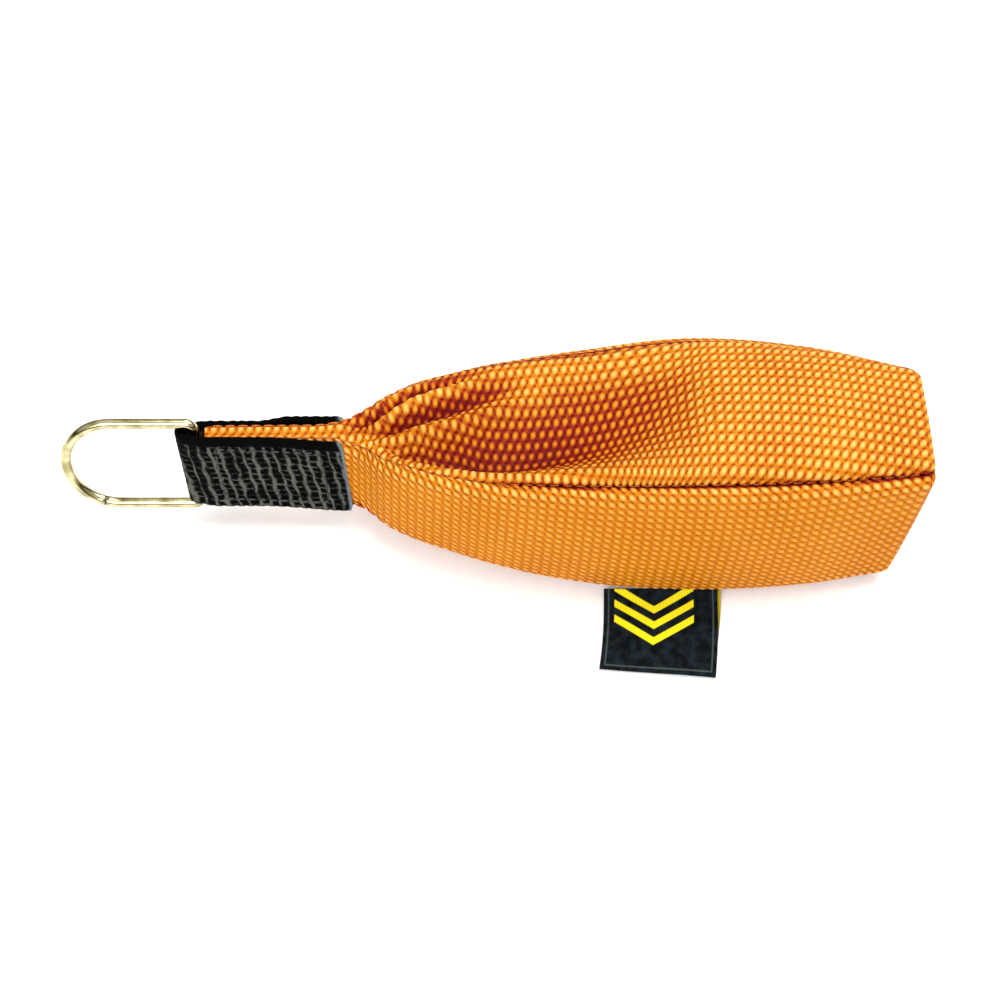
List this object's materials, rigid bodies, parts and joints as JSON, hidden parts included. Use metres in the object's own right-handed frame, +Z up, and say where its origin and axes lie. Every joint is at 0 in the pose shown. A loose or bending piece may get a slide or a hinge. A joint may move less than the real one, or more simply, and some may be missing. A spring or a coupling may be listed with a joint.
{
  "type": "throw-line weight bag",
  "caption": "Shot-filled four-sided nylon bag with a folded webbing neck loop and a pivoting D-shaped wire ring.",
  "frame": {"origin": "on the table, in the flat underside of the bag, below its widest part", "axes": "+X along the bag from the ring to the base panel, +Z up, the label points to -Y"},
  "size_m": [0.2007, 0.0742, 0.0414],
  "materials": {
    "bag_fabric": "satin",
    "bag_thread": "satin",
    "webbing": "matte",
    "black_thread": "satin",
    "ring_steel": "polished",
    "label": "matte",
    "liner": "matte",
    "tie_cord": "matte",
    "shot": "satin"
  },
  "bodies": {
    "bag": {"webbing_loop": "webbing", "front_box_stitch": "black_thread", "back_box_stitch": "black_thread", "front_panel": "bag_fabric", "back_panel": "bag_fabric", "top_gusset": "bag_fabric", "bottom_gusset": "bag_fabric", "base_panel": "bag_fabric", "seam_thread_top_front": "bag_thread", "seam_thread_low_front": "bag_thread", "seam_thread_low_back": "bag_thread", "seam_thread_top_back": "bag_thread", "seam_thread_base": "bag_thread", "inner_liner": "liner", "liner_tie": "tie_cord", "shot_fill": "shot"},
    "ring_body": {"ring": "ring_steel"},
    "label_body": {"label": "label"}
  },
  "joints": [
    {"name": "ring_pivot", "type": "hinge", "parent": "bag", "child": "ring_body", "pos_m": [-0.1113, 0.002, 0.01575], "axis": [0, 0.3256, 0.9455], "range_deg": [-160, 160]},
    {"name": "label_flap", "type": "hinge", "parent": "bag", "child": "label_body", "pos_m": [-0.0023, -0.0243, 0.0022], "axis": [-1, 0, 0], "range_deg": [0, 80]}
  ]
}
